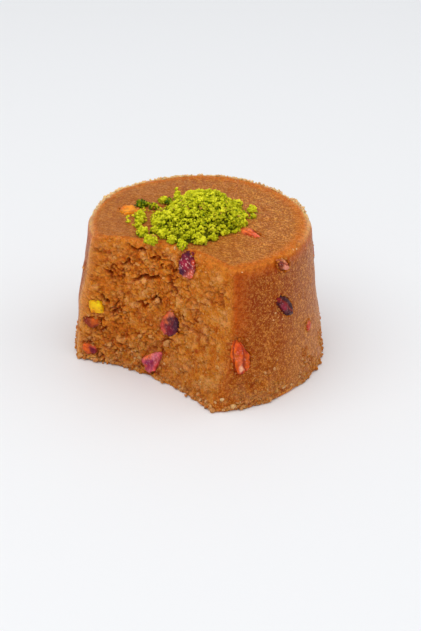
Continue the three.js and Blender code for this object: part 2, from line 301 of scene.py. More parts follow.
def halva_surface():
    """The block as rows of points from the middle of the top, over the rim, down the side and under
    the foot to its middle. A point's radius is the side's, less the rounding's inset, times its
    share of the way out. Columns are closer over the cut. Also gives each point's angle, and how
    far along the surface it lies past the middle of the rim's rounding."""
    column_at = np.cumsum([0, *COLUMNS])
    angle = np.radians(np.interp(np.arange(column_at[-1]), column_at, COLUMN_ENDS))
    top = 1 - (1 - np.linspace(0.02, 1, ROWS["top"], endpoint=False)) ** 1.5
    turn = np.linspace(0, np.pi / 2, ROWS["rim"])
    fall = np.linspace(0, 1, ROWS["side"] + 1)[1:]
    toe = np.linspace(0, np.pi / 2, ROWS["foot"] + 1)[1:]
    base = np.linspace(1, 0.03, ROWS["base"])[1:]
    corner = bell(angle - np.radians(CUT_RIGHT["rim"]), 0.3)
    radius = RIM_ROUND["plain"] + (RIM_ROUND["corner"] - RIM_ROUND["plain"]) * corner

    def stacked(*parts):
        return np.concatenate([np.broadcast_to(part, (len(part), len(angle))) for part in parts])

    one, flat = np.ones_like(angle)[None], np.zeros((1, len(angle)))
    height = stacked(
        np.repeat(one * HEIGHT, len(top), 0),
        HEIGHT - radius * (1 - np.cos(turn))[:, None],
        (HEIGHT - radius) * (1 - fall)[:, None] + FOOT_ROUND * fall[:, None],
        (FOOT_ROUND * (1 - np.sin(toe)))[:, None] * one,
        np.repeat(flat, len(base), 0),
    )
    inset = stacked(
        np.repeat(radius[None], len(top), 0),
        radius * (1 - np.sin(turn))[:, None],
        np.repeat(flat, len(fall), 0),
        (FOOT_ROUND * (1 - np.cos(toe)))[:, None] * one,
        np.repeat(one * FOOT_ROUND, len(base), 0),
    )
    share = np.concatenate([top, np.ones(len(turn) + len(fall) + len(toe)), base])[:, None] * one
    angle = np.broadcast_to(angle, height.shape)
    out = share * (side_radius(angle, height) - inset)
    points = np.stack([out * np.cos(angle), out * np.sin(angle), height], -1)
    steps = np.linalg.norm(np.diff(points, axis=0), axis=-1)
    travelled = np.concatenate([flat, np.cumsum(steps, axis=0)])
    return points, angle, travelled - travelled[len(top) + len(turn) // 2]


def halva_tints(points, angle, past_rim):
    """How broken each place is, and how much painted light it has: orange glow, highlight, paleness and
    sparkle. It is broken where the cut lies in from the wall. Painted orange glow, as of light shining
    through thin halva, runs along the rim, widest at the right of the back, and down the wall beside the
    right corner. A painted highlight runs along the front of the rim, the top and both corners of the cut,
    and the foot. The rim is painted pale at the back, as backlight, and the right wall and the left corner
    are painted slightly pale, as sheen. Painted sparkle on the skin's grains is stronger towards the right."""
    height = points[..., 2]
    inner, outer = np.maximum(-past_rim, 0), np.maximum(past_rim, 0)
    broken = ramp(wall_radius(height) - side_radius(angle, height), 0.2, 2.6) * bell(inner, 1.1)
    far = 0.5 + 0.5 * np.cos(angle - FAR_SIDE)
    wide = 0.5 + 0.5 * np.cos(angle - np.radians(80))
    # Painted orange glow along the rim, as of light shining through the thin rounded halva.
    edge = 1 - ramp(inner, 0.8 + 1.6 * wide, 2.8 + 4.2 * wide)
    edge = edge * (1 - ramp(outer, 0.8, 5.5)) * (1 - 0.75 * broken)
    past_left, past_corner = (np.degrees(angle - end) for end in cut_ends(height))
    # Painted orange glow down the wall beside the right corner.
    band = ramp(past_corner, -1.0, 1.5) * bell(np.maximum(past_corner - 1.5, 0), 7.0)
    band = band * (0.2 + 0.8 * ramp(height, 8, 34)) * ramp(past_rim, -0.6, 0.8)
    whole_rim = 1 - ramp(RIM_RADIUS - side_radius(angle, HEIGHT), 0.5, 4)
    # Painted pale: backlight through the rim at the back, sheen on the right wall, and a reflection at the
    # left corner.
    pale = 0.75 * bell(past_rim + 0.1, 1.2) * whole_rim * ramp(far, 0.2, 0.7)
    pale = np.maximum(pale, 0.08 * ramp(past_corner, 22, 45) * ramp(past_rim, 0, 6))
    pale = np.maximum(pale, 0.15 * bell(past_left + 2.0, 2.5) * ramp(past_rim, 0, 2))
    # Painted highlight along the front of the rim, the top and corners of the cut, and the foot, where it
    # also lifts the contact shade.
    painted_highlight = 0.8 * bell(past_rim + 0.1, 0.5) * whole_rim * (1 - far)
    painted_highlight = painted_highlight + 0.6 * bell(past_rim - 0.6, 1.4) * (1 - whole_rim)
    beside = 0.7 * bell(past_corner + 0.4, 1.4) * ramp(height, 6, 30)
    painted_highlight = np.maximum(painted_highlight, beside * ramp(past_rim, -1, 0))
    painted_highlight = np.maximum(painted_highlight, bell(past_left + 1.0, 3.2) * ramp(past_rim, 0, 2))
    painted_highlight = np.maximum(painted_highlight, 0.6 * bell(height, 1.4))
    # Painted sparkle of single grains, stronger towards the right and more on the top there.
    rightwards = ramp(0.815 * points[..., 0] + 0.58 * points[..., 1], -20, 34)
    painted_glint = (0.5 + 0.6 * rightwards) * (1 - 0.6 * broken) * (1 - 0.75 * np.maximum(edge, band))
    painted_glint = painted_glint * (1 + 0.3 * ramp(height, 46, 47.8) * rightwards)
    return broken, np.maximum(edge, band), painted_highlight, pale, painted_glint


def shaken(points, size, salt):
    """A soft random shift for each point: hills from -0.5 to 0.5 along each axis."""
    return np.stack([hills(points, size, salt + axis) for axis in range(3)], -1) - 0.5


def degrees_past(degrees, at):
    """How far one angle is past another, brought between -180 and 180 degrees."""
    return (degrees - at + 180) % 360 - 180


def halva_relief(points, angle, past_rim, broken):
    """How far the surface stands out, in millimetres. The mould's skin has slow swells, and pits where it
    stuck. The cut has wide clumps that step in and out, round grains on them, and tears: a tear's depth
    falls off as a bell curve from its line, which wanders. The halva round each kernel is uneven. The foot
    and the far rim are ragged. Also gives how light and how ragged each place is, and how much painted
    shade, dark orange like light caught inside the halva, lies in the gaps between grains, in tears and
    pits and in low places beside the kernels. Real red stains from the skins are given as the same dark
    orange."""
    height = points[..., 2]
    degrees = np.degrees(angle)
    swell = 0.6 * (hills(points, 11.0, 5) - 0.5) + 0.3 * (hills(points, 4.0, 6) - 0.5)
    swell = swell + 0.16 * (hills(points, 1.6, 7) - 0.5)
    for at, z, wide, tall, far in BULGES:
        swell = swell + far * bell(degrees_past(degrees, at), wide) * bell(height - z, tall)

    calm = broken * (1 - 0.4 * ramp(degrees, -92, -66)) * (0.3 + 0.7 * ramp(past_rim, 1.5, 5))
    warp = shaken(points, 1.7, 20)
    wide = grains((points + 2.4 * warp) * np.array([0.75, 0.75, 1.25]), 3.8, 30)
    moved = points + 0.6 * warp + 0.6 * shaken(points, 0.9, 24)
    fine = grains(moved * np.array([0.9, 0.9, 1.1]), 1.8, 40)
    gap_wide = 1 - ramp(wide[1] - wide[0], 0.0, 0.2)
    gap_fine = 1 - ramp(fine[1] - fine[0], 0.0, 0.24)
    gap_fine = gap_fine * (0.2 + 0.8 * ramp(hills(points, 2.4, 51), 0.35, 0.65))
    loose = ramp(hills(points, 7.0, 50), 0.5, 0.75)
    dome = np.sqrt(np.maximum(1 - (fine[0] / 0.95) ** 2, 0))
    crumbly = 1.1 * (wide[2] - 0.5) + 0.4 * (dome - 0.6) + 0.5 * (fine[2] - 0.5)
    crumbly = crumbly + 0.3 * (hills(points, 1.0, 52) - 0.5)
    crumbly = crumbly - gap_wide * (0.25 + 1.1 * loose) - 0.4 * gap_fine

    tear = np.zeros_like(height)
    for start, end, depth in TEARS:
        (a0, z0), (a1, z1) = start, end
        run = (degrees - a0) / (a1 - a0)
        line = z0 + (z1 - z0) * run + 0.6 * np.sin(7.0 * run + a0) + 1.1 * warp[..., 2]
        length = np.exp(-((np.abs(run - 0.5) / 0.55) ** 4))
        tear = np.maximum(tear, 1.5 * depth * length * bell(height - line, 0.5))

    pit = np.zeros_like(height)
    for at, z, radius, depth in PITS:
        across = np.radians(degrees_past(degrees, at)) * wall_radius(height)
        off = np.hypot(across, (height - z) * 1.25) / radius
        off = off + 1.2 * (hills(points, 1.4, 60) - 0.5)
        pit = np.maximum(pit, depth * (1 - ramp(off, 0.4, 1.05)))
    pit = pit * (1 - 0.6 * dome)

    stain = np.zeros_like(height)
    for at, z, radius in STAINS:
        across = np.radians(degrees_past(degrees, at)) * RIM_RADIUS
        off = np.hypot(across, height - z) / radius
        off = off + hills(points, 1.2, 64) - 0.5
        stain = np.maximum(stain, 0.8 * (1 - ramp(off, 0.3, 1.1)))

    beside, under = np.zeros_like(height), np.zeros_like(height)
    for seat in SEATS.values():
        reach = kernel_reach(points, seat, [0.2, 0.2, 2.5])
        beside = np.maximum(beside, bell(reach - 1.0, 0.2))
        under = np.maximum(under, 1 - ramp(reach, 0.82, 0.98))
    uneven = hills(points, 1.3, 61) - 0.48

    foot = bell(height, 2.4) * ramp(hills(points, 4.0, 70), 0.32, 0.56)
    lower = 0.7 * ramp(-height, -15, -2) * ramp(hills(points, 3.4, 72), 0.42, 0.62)
    far = 0.12 + 0.88 * ramp(np.cos(angle - FAR_SIDE), -0.4, 0.4)
    rim = 0.6 * bell(past_rim + 0.1, 0.9) * far * ramp(hills(points, 1.8, 71), 0.3, 0.6)
    ragged = np.maximum(np.maximum(foot, lower), rim)
    crusty = ragged * (0.8 * (dome - 0.5) + 0.8 * (fine[2] - 0.45) - 0.4 * gap_fine)

    stands = swell + calm * crumbly + (1 - broken) * crusty + 0.8 * beside * uneven
    stands = (stands - broken * tear - (1 - broken) * pit) * (1 - under) - 0.5 * under
    # Painted shade, dark orange, in gaps, tears, pits and low places beside kernels; the stains are real.
    hollow = calm * (0.7 * gap_wide * (0.3 + loose) + 0.6 * gap_fine) + broken * 0.8 * tear + 0.9 * pit
    hollow = hollow + 0.7 * (1 - broken) * ragged * gap_fine + 0.6 * beside * (uneven < 0)
    hollow = np.maximum(hollow, stain)
    light = 0.3 * fine[2] + 0.15 * dome + 0.8 * (hills(points, 2.6, 62) - 0.5)
    light = light + 0.5 * (hills(points, 1.1, 63) - 0.5) + 0.2
    return stands, np.clip(hollow, 0, 1), np.clip(light, 0, 1), np.clip(ragged, 0, 1)


def mesh_of(name, corners, faces, smooth=True):
    """A mesh from corners in millimetres and tables of faces with three or four corners each, joined
    in the order given."""
    mesh = bpy.data.meshes.new(name)
    mesh.vertices.add(len(corners))
    mesh.vertices.foreach_set("co", (np.asarray(corners) * MM).astype(np.float32).ravel())
    loops = np.concatenate([table.ravel() for table in faces]).astype(np.int32)
    totals = np.concatenate([np.full(len(table), table.shape[1]) for table in faces])
    mesh.loops.add(len(loops))
    mesh.loops.foreach_set("vertex_index", loops)
    mesh.polygons.add(len(totals))
    mesh.polygons.foreach_set("loop_start", (np.cumsum(totals) - totals).astype(np.int32))
    mesh.polygons.foreach_set("use_smooth", np.full(len(totals), smooth))
    mesh.update(calc_edges=True)
    mesh.validate()
    return mesh


def skin_faces(rows, columns):
    """Faces of a closed skin: corner 0 is the first pole, then come the rows of corners, then the
    last pole. Fans close the poles and four-cornered faces fill the rows, round and round."""
    here = 1 + np.arange(rows * columns).reshape(rows, columns)
    after = np.roll(here, -1, axis=1)
    quads = np.stack([here[:-1], here[1:], after[1:], after[:-1]], -1).reshape(-1, 4)
    first = np.stack([np.zeros(columns, int), here[0], after[0]], -1)
    last = np.stack([here[-1], np.full(columns, rows * columns + 1), after[-1]], -1)
    return [quads, np.concatenate([first, last])]


def closed_grid(values):
    """Rows of values, with the mean of the first row put before them and of the last row after
    them, as one flat list: the order of corners that a closed skin has."""
    ends = values[0].mean(0, keepdims=True), values[-1].mean(0, keepdims=True)
    return np.concatenate([ends[0], values.reshape(-1, *values.shape[2:]), ends[1]])


def put_values(mesh, **values):
    """Stores a number, or a colour of four numbers, for each corner of a mesh under its name. One
    number alone goes to every corner."""
    for name, numbers in values.items():
        numbers = np.asarray(numbers, np.float32)
        if numbers.ndim == 0:
            numbers = np.full(len(mesh.vertices), numbers)
        kind, field = ("FLOAT", "value") if numbers.ndim == 1 else ("FLOAT_COLOR", "color")
        mesh.attributes.new(name, kind, "POINT").data.foreach_set(field, numbers.ravel())


def piece(name, mesh, finish):
    """Puts a mesh into the scene as a piece that stays with the block, with its finish."""
    made = bpy.data.objects.new(name, mesh)
    bpy.context.collection.objects.link(made)
    mesh.materials.append(finish)
    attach(made, "root")
    return made


def linear(red, green, blue):
    """A screen colour from 0 to 255 as the amounts of light it stands for, by the usual curve."""
    share = np.array([red, green, blue]) / 255
    light = np.where(share <= 0.04045, share / 12.92, ((share + 0.055) / 1.055) ** 2.4)
    return (*light, 1.0)


def add(tree, kind, inputs=None, **settings):
    """Puts a node into a tree. Each input gets a value, or a link from another node's output."""
    made = tree.nodes.new(kind)
    for name, value in settings.items():
        setattr(made, name, value)
    for name, value in (inputs or {}).items():
        if isinstance(value, bpy.types.NodeSocket):
            tree.links.new(value, made.inputs[name])
        else:
            made.inputs[name].default_value = value
    return made


def sum_of(tree, kind, first, second):
    """The output of a small calculation on two values, such as ADD or MULTIPLY."""
    return add(tree, "ShaderNodeMath", {0: first, 1: second}, operation=kind).outputs[0]


def blend_of(tree, share, first, second):
    """The output of a mix of two colours, from the first at 0 to the second at 1."""
    made = add(tree, "ShaderNodeMix", {0: share, 6: first, 7: second}, data_type="RGBA")
    return made.outputs[2]


def scaled(tree, colour, share):
    """The output of a colour made lighter or darker by a share."""
    return add(tree, "ShaderNodeVectorMath", {0: colour, "Scale": share}, operation="SCALE").outputs[0]


def spread_of(tree, value, low, high, low_to=0.0, high_to=1.0):
    """The output of a value carried from one range to another and held inside it."""
    inputs = {"Value": value, "From Min": low, "From Max": high, "To Min": low_to, "To Max": high_to}
    return add(tree, "ShaderNodeMapRange", inputs).outputs["Result"]


def reading(tree, name, field="Fac"):
    """The output of what is stored under a name at each corner, as a number or as its Color."""
    return add(tree, "ShaderNodeAttribute", None, attribute_name=name).outputs[field]


def layered(tree, base, *layers):
    """The output of a colour with others laid over it in turn. Each layer has the value that it
    follows, where it starts and where it is full, how much it then covers, and its colour."""
    for value, start, full, cover, colour in layers:
        base = blend_of(tree, spread_of(tree, value, start, full, 0.0, cover), base, colour)
    return base


def effect_group(name, given, outputs):
    """An empty shader effect with one number as its input and some as its outputs. Gives the group,
    its input and the place on the piece."""
    group = bpy.data.node_groups.new(name, "ShaderNodeTree")
    group.interface.new_socket(given, in_out="INPUT", socket_type="NodeSocketFloat")
    for output in outputs:
        group.interface.new_socket(output, in_out="OUTPUT", socket_type="NodeSocketFloat")
    place = add(group, "ShaderNodeTexCoord").outputs["Object"]
    return group, add(group, "NodeGroupInput").outputs[given], place


def weighed(tree, first, second, share):
    """The output of two values added up, the first by a share and the second by the rest of it."""
    rest = sum_of(tree, "MULTIPLY", second, 1 - share)
    return sum_of(tree, "ADD", sum_of(tree, "MULTIPLY", first, share), rest)


def semolina_grain():
    """The effect of packed semolina: each grain has its own tone, from 0 to 1, and a round height,
    and here and there is a darker, toasted one. Input: the grain's size in millimetres."""
    group, size, place = effect_group("semolina grain", "Size", ["Tone", "Toasted", "Height"])
    scale = sum_of(group, "DIVIDE", 1 / MM, size)
    cells = add(group, "ShaderNodeTexVoronoi", {"Vector": place, "Scale": scale, "Randomness": 1.0})
    drift = add(group, "ShaderNodeTexNoise", {"Vector": place, "Scale": 420.0, "Detail": 3.0})
    parts = add(group, "ShaderNodeSeparateColor", {"Color": cells.outputs["Color"]})
    add(group, "NodeGroupOutput", {
        "Tone": weighed(group, parts.outputs[0], drift.outputs["Fac"], 0.65),
        "Toasted": spread_of(group, parts.outputs[1], 0.88, 0.96),
        "Height": spread_of(group, cells.outputs["Distance"], 0.0, 0.75, 1.0, 0.0),
    })
    return group


def new_finish(name):
    """A new material and its empty tree of nodes."""
    made = bpy.data.materials.new(name)
    made.use_nodes = True
    made.node_tree.nodes.clear()
    return made, made.node_tree


def add_shader(tree, base, gloss, relief, bump, specular, inside):
    """Ends a material with its shader. The relief is a bump of a strength and a height. Light goes
    inside by a share, and comes out within a depth times one share each for red, green and blue."""
    strength, height = bump
    weight, colours, depth = inside
    raised = add(tree, "ShaderNodeBump", {"Height": relief, "Strength": strength, "Distance": height * MM})
    shader = add(tree, "ShaderNodeBsdfPrincipled", {
        "Base Color": base,
        "Roughness": gloss,
        "Normal": raised.outputs["Normal"],
        "Specular IOR Level": specular,
        "Subsurface Weight": weight,
        "Subsurface Radius": colours,
        "Subsurface Scale": depth * MM,
    })
    add(tree, "ShaderNodeOutputMaterial", {"Surface": shader.outputs[0]})


def halva_finish(name, weight, depth):
    """Buttery semolina: brown on the moulded skin and lighter low down, partly its own less toasted colour
    and partly painted light bounced up from the table, and lighter and greyer on top as painted sheen. It
    is more golden where broken, and painted light makes it lighter there upwards and to the left. A painted
    orange glow lies along the rim and corners, painted highlights along the rim's front, the cut's corners
    and the foot, and dark orange painted shade in gaps, tears and pits, which also hold real stains. It is
    pale where crumbs stand dry, and painted pale as backlight and sheen at the back of the rim, on the
    right wall and at the left corner. Painted sparkle lights some grains. Grains vary the colour, the gloss
    and the relief. Light goes in by the given share and comes out again within the given depth. Places on
    the piece are in metres."""
    made, tree = new_finish(name)
    fine, coarse = [add(tree, "ShaderNodeGroup", {"Size": size}, node_tree=grain_effect).outputs
                    for size in GRAIN_SIZES]
    place = add(tree, "ShaderNodeTexCoord").outputs["Object"]
    along = add(tree, "ShaderNodeSeparateXYZ", {"Vector": place}).outputs
    clouds = {"Vector": place, "Scale": 90.0, "Detail": 4.0, "Roughness": 0.6}
    cloud = add(tree, "ShaderNodeTexNoise", clouds).outputs["Fac"]
    light = reading(tree, "light")

    moulded = layered(
        tree, linear(146, 52, 0),
        (cloud, 0.35, 0.65, 1.0, linear(162, 70, 0)),
        # Lighter low down: partly a less toasted colour, partly painted light bounced up from the table.
        (along["Z"], 0.034, 0.006, 0.75, linear(182, 94, 6)),
        # Lighter and greyer on the top: painted sheen over the top's own colour.
        (along["Z"], 0.0462, 0.0478, 1.0, linear(170, 97, 34)),
    )
    crumb = layered(
        tree, linear(194, 98, 6),
        (light, 0.0, 0.5, 1.0, linear(206, 124, 30)),
        (light, 0.45, 1.0, 1.0, linear(226, 160, 90)),
        (cloud, 0.5, 0.68, 0.4, linear(176, 96, 44)),
    )
    # Painted light: the broken face is lighter upwards and towards the left.
    crumb = scaled(tree, crumb, spread_of(tree, along["Z"], 0.004, 0.044, 0.94, 1.24))
    crumb = scaled(tree, crumb, spread_of(tree, along["X"], -0.03, 0.03, 1.1, 0.95))
    # Colour of the painted orange glow, lighter at the top.
    edge_glow_colour = layered(tree, linear(196, 84, 0), (along["Z"], 0.045, 0.0472, 1.0, linear(206, 108, 16)))
    painted_glitter = sum_of(tree, "MULTIPLY", reading(tree, "painted_glint"), 0.42)
    base = layered(
        tree, blend_of(tree, reading(tree, "broken"), moulded, crumb),
        # Painted light and shade over the colour: glow, highlights, paleness partly from dry crumbs and
        # partly backlight and sheen, and shade in gaps.
        (reading(tree, "edge"), 0.05, 1.0, 0.85, edge_glow_colour),
        (reading(tree, "painted_highlight"), 0.0, 1.0, 0.7, linear(232, 140, 36)),
        (reading(tree, "pale"), 0.0, 1.0, 1.0, linear(255, 228, 170)),
        (reading(tree, "hollow"), 0.05, 0.9, 0.85, linear(160, 54, 0)),
        (coarse["Tone"], 0.5, 0.85, 0.2, linear(236, 156, 66)),
        (coarse["Tone"], 0.5, 0.2, 0.2, linear(120, 40, 0)),
        # Painted sparkle: some grains lit nearly white-orange, as highlights.
        (fine["Tone"], 0.54, 0.82, painted_glitter, linear(255, 182, 84)),
        (fine["Tone"], 0.44, 0.17, 0.3, linear(114, 38, 0)),
        (coarse["Toasted"], 0.0, 1.0, 0.25, linear(130, 46, 0)),
    )
    add_shader(
        tree, base,
        gloss=spread_of(tree, fine["Tone"], 0.2, 0.8, 0.5, 0.3),
        relief=weighed(tree, fine["Height"], coarse["Height"], 0.6),
        bump=(0.7, 0.4),
        specular=0.1,
        inside=(weight, (1.0, 0.4, 0.12), depth),
    )
    return made


smooth, angle, past_rim = halva_surface()
broken, edge, painted_highlight, pale, painted_glint = halva_tints(smooth, angle, past_rim)
down_rows = np.gradient(smooth, axis=0)
round_columns = (np.roll(smooth, -1, axis=1) - np.roll(smooth, 1, axis=1)) / 2
outward = np.cross(down_rows, round_columns)
outward /= np.maximum(np.linalg.norm(outward, axis=-1, keepdims=True), 1e-9)
stands, hollow, light, ragged = halva_relief(smooth, angle, past_rim, broken)
resting = (smooth[..., 2] < 0.02)[..., None]
surface = smooth + outward * np.where(resting, 0, stands[..., None])
surface[..., 2] = np.maximum(surface[..., 2], 0)

halva_mesh = mesh_of("halva_block", closed_grid(surface), skin_faces(*surface.shape[:2]))
# Ragged places are paler with drier crumbs, their own colour; the rest of this paleness is painted light.
pale = np.maximum(0.15 * ragged, pale)
looks = dict(broken=broken, edge=edge, painted_highlight=painted_highlight, hollow=hollow, light=light, pale=pale, painted_glint=painted_glint)
put_values(halva_mesh, **{name: closed_grid(values) for name, values in looks.items()})
grain_effect = semolina_grain()
halva = halva_finish("toasted semolina", weight=0.75, depth=1.5)
halva_block = piece("halva_grains_block", halva_mesh, halva)
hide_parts("halva_block")


# ------------------------------------------------------------------------------- crumbs of halva
# Single swollen semolina grains and small clumps of them that the spoon and the mould left standing: thick
# on the cut, a fringe of drier ones round the foot, small ones along the rim at the back, painted pale and
# bright as if lit through from behind, some pushed up round each kernel, and a few large ones. They carry
# painted glow, shade and sparkle like the block's surface.

# Of each kind: how many, the smallest radius, how much more the others have and the power that makes
# large ones rare, and how far out of the halva their middles lie, as shares of the radius.
CUT_CRUMBS = dict(count=560, size=(0.3, 0.5, 1.7), out=(-0.8, -0.2))
FRINGE_CRUMBS = dict(count=1500, size=(0.28, 0.42, 2), out=(-0.7, 0.3))
RIM_CRUMBS = dict(count=1800, size=(0.2, 0.3, 2), out=(-0.9, 0.8))
SEAT_CRUMBS = 30
# Values that a crumb has unless its kind says otherwise.
PLAIN_CRUMB = dict(broken=1.0, edge=0.0, painted_highlight=0.0, hollow=0.0, painted_glint=0.4)
# Large crumbs: angle, height, radius and how pale.
LARGE_CRUMBS = np.array([
    (-43.5, 4.5, 0.75, 0.9),
    (-38.8, 1.5, 0.9, 0.7),
    (-35.6, 2.6, 0.55, 0.5),
    (-46.6, 3.2, 0.6, 0.5),
    (-48.6, 1.6, 0.7, 0.3),
    (-80.0, 13.2, 1.0, 0.1),
    (-78.6, 14.2, 0.8, 0.1),
    (-90.8, 27.5, 0.9, 0.12),
    (-15.7, 30.1, 0.45, 0.8),
    (-14.0, 28.3, 0.4, 0.6),
    (-11.4, 27.2, 0.45, 0.7),
    (-17.0, 28.0, 0.35, 0.6),
    (-134.6, 32.8, 0.8, 0.3),
    (-130.8, 1.2, 0.9, 0.3),
    (-127.0, 1.0, 0.7, 0.4),
    (-13.0, 3.2, 0.6, 0.6),
    (-7.5, 2.6, 0.7, 0.6),
    (-1.5, 3.5, 0.6, 0.5),
    (1.5, 9.0, 0.7, 0.4),
    (6.0, 7.5, 0.6, 0.4),
])


def lump_skins(centres, radii, random, flat=0.35, rough=0.28, rings=4, columns=6):
    """Small lumps, each a ball of rings and columns. Every corner is moved in or out at random, the
    ball is stretched unevenly along three axes, turned at random and set at its centre."""
    count = len(centres)
    down = np.pi * np.arange(1, rings) / rings
    about = 2 * np.pi * np.arange(columns) / columns
    ball = np.stack([
        np.outer(np.sin(down), np.cos(about)),
        np.outer(np.sin(down), np.sin(about)),
        np.outer(np.cos(down), np.ones(columns)),
    ], -1).reshape(-1, 3)
    ball = np.concatenate([[[0, 0, 1]], ball, [[0, 0, -1]]])
    moved = ball * (1 + rough * random.uniform(-1, 1, (count, len(ball), 1)))
    moved = moved * (1 + flat * random.uniform(-1, 1, (count, 1, 3)))
    turn = np.linalg.qr(random.normal(size=(count, 3, 3)))[0]
    turn *= np.sign(np.linalg.det(turn))[:, None, None]
    moved = np.einsum("nij,nkj->nki", turn, moved) * radii[:, None, None] + centres[:, None]
    tables = skin_faces(rings - 1, columns)
    shift = len(ball) * np.arange(count)[:, None, None]
    faces = [(table[None] + shift).reshape(-1, table.shape[1]) for table in tables]
    return moved.reshape(-1, 3), faces, len(ball)


def lump_piece(name, lumps, finish, slot, smooth, **values):
    """Lumps as one piece. Each value is one number for each lump, or one for all of them."""
    corners, faces, per_lump = lumps
    mesh = mesh_of(name, corners, faces, smooth)
    spread = {key: np.repeat(value, per_lump) if np.ndim(value) else value
              for key, value in values.items()}
    put_values(mesh, **spread)
    piece(name, mesh, finish)


def scattered(weight, random, count, size, out):
    """Places for crumbs. Corners of the halva's surface are picked at random, each as likely as its
    weight, and moved by up to half a grid step. A radius is the smallest one, and more by a random
    share taken to a power. Gives the picked corners, the middles and the radii."""
    chance = weight.ravel() / weight.sum()
    picked = np.unravel_index(random.choice(chance.size, count, p=chance), weight.shape)
    smallest, more, power = size
    radii = smallest + more * random.random(count) ** power
    depth = radii * random.uniform(*out, count)
    down, across = random.uniform(-0.5, 0.5, (2, count, 1))
    spots = surface[picked] + down * down_rows[picked] + across * round_columns[picked]
    return picked, spots + outward[picked] * depth[:, None], radii


def crumb_piece(name, centres, radii, random, **values):
    """Crumbs as one piece, held clear of the table, with a plain crumb's values and their own."""
    centres = np.stack([*centres.T[:2], np.maximum(centres[:, 2], 1.15 * radii)], -1)
    corners, faces, per_lump = lump_skins(centres, radii, random)
    corners[:, 2] = np.maximum(corners[:, 2], 0)
    lump_piece(name, (corners, faces, per_lump), crumbs, "halva", smooth=True, **PLAIN_CRUMB | values)


crumbs = halva_finish("semolina crumbs", weight=0.2, depth=0.3)
random = np.random.default_rng(11)
area = np.linalg.norm(np.cross(down_rows, round_columns), axis=-1)
free = area * np.prod([kernel_reach(smooth, seat, 0.5) > 1.0 for seat in SEATS.values()], axis=0)

picked, centres, radii = scattered(free * broken**2, random, **CUT_CRUMBS)
# Cut crumbs take the painted orange glow and half the painted shade of the place they stand on.
crumb_piece(
    "cut_crumbs", centres, radii, random,
    edge=edge[picked],
    hollow=0.5 * hollow[picked],
    light=0.3 + 0.6 * random.random(len(radii)),
    pale=0.12 * (random.random(len(radii)) > 0.8),
)

low_down = ramp(-smooth[..., 2], -20, -10) * (1 + 1.5 * bell(smooth[..., 2], 1.5))
off_table = surface[..., 2] > 0.2
picked, centres, radii = scattered(free * ragged * low_down * off_table, random, **FRINGE_CRUMBS)
# Fringe crumbs get a random painted orange glow, as of light shining through them.
crumb_piece(
    "fringe_crumbs", centres, radii, random,
    edge=0.7 * random.random(len(radii)),
    light=0.3 + 0.5 * random.random(len(radii)),
    pale=0.4 * random.random(len(radii)) ** 3,
)

behind = 0.002 + ramp(np.cos(angle - FAR_SIDE), 0, 0.75)
patchy = 0.15 + ramp(hills(smooth, 3.6, 73), 0.3, 0.65)
on_rim = area * bell(past_rim + 0.1, 0.95) * behind * patchy
picked, centres, radii = scattered(on_rim, random, **RIM_CRUMBS)
# Rim crumbs are painted light and pale, as backlight through them.
crumb_piece(
    "rim_crumbs", centres, radii, random,
    light=0.9,
    pale=0.45 + 0.5 * random.random(len(radii)),
)

spots = [spot_on_side(at, z) for at, z in LARGE_CRUMBS[:, :2]]
radii, how_pale = LARGE_CRUMBS[:, 2], LARGE_CRUMBS[:, 3]
centres = np.array([point - 0.25 * radius * out for (point, _, out), radius in zip(spots, radii)])
# Large crumbs get a little painted orange glow.
crumb_piece("large_crumbs", centres, radii, random, edge=0.2, light=1.0, pale=0.6 * how_pale)

seat_spots = []
for seat in SEATS.values():
    middle, axes = seat_of(seat)
    about = 2 * np.pi * (np.arange(SEAT_CRUMBS) + random.random(SEAT_CRUMBS)) / SEAT_CRUMBS
    reach = np.array(seat["size"])[:2] / 2 * random.uniform(0.88, 1.1, (SEAT_CRUMBS, 1))
    spots = np.stack([np.cos(about), np.sin(about)], -1) * reach
    spots = middle + spots @ axes[:, :2].T + axes[:, 2] * seat["sink"]
    if "side" in seat:
        away = side_radius(np.arctan2(spots[:, 1], spots[:, 0]), spots[:, 2]) / np.hypot(*spots.T[:2])
        spots[:, :2] *= away[:, None]
    seat_spots.append(spots)
seat_spots = np.concatenate(seat_spots)
radii = 0.18 + 0.36 * random.random(len(seat_spots)) ** 2
# Seat crumbs get some painted orange glow and random painted shade.
crumb_piece(
    "seat_crumbs", seat_spots, radii, random,
    broken=0.7,
    edge=0.3,
    hollow=0.3 * random.random(len(radii)),
    light=0.2 + 0.6 * random.random(len(radii)),
    pale=0.12 * (random.random(len(radii)) > 0.7),
)
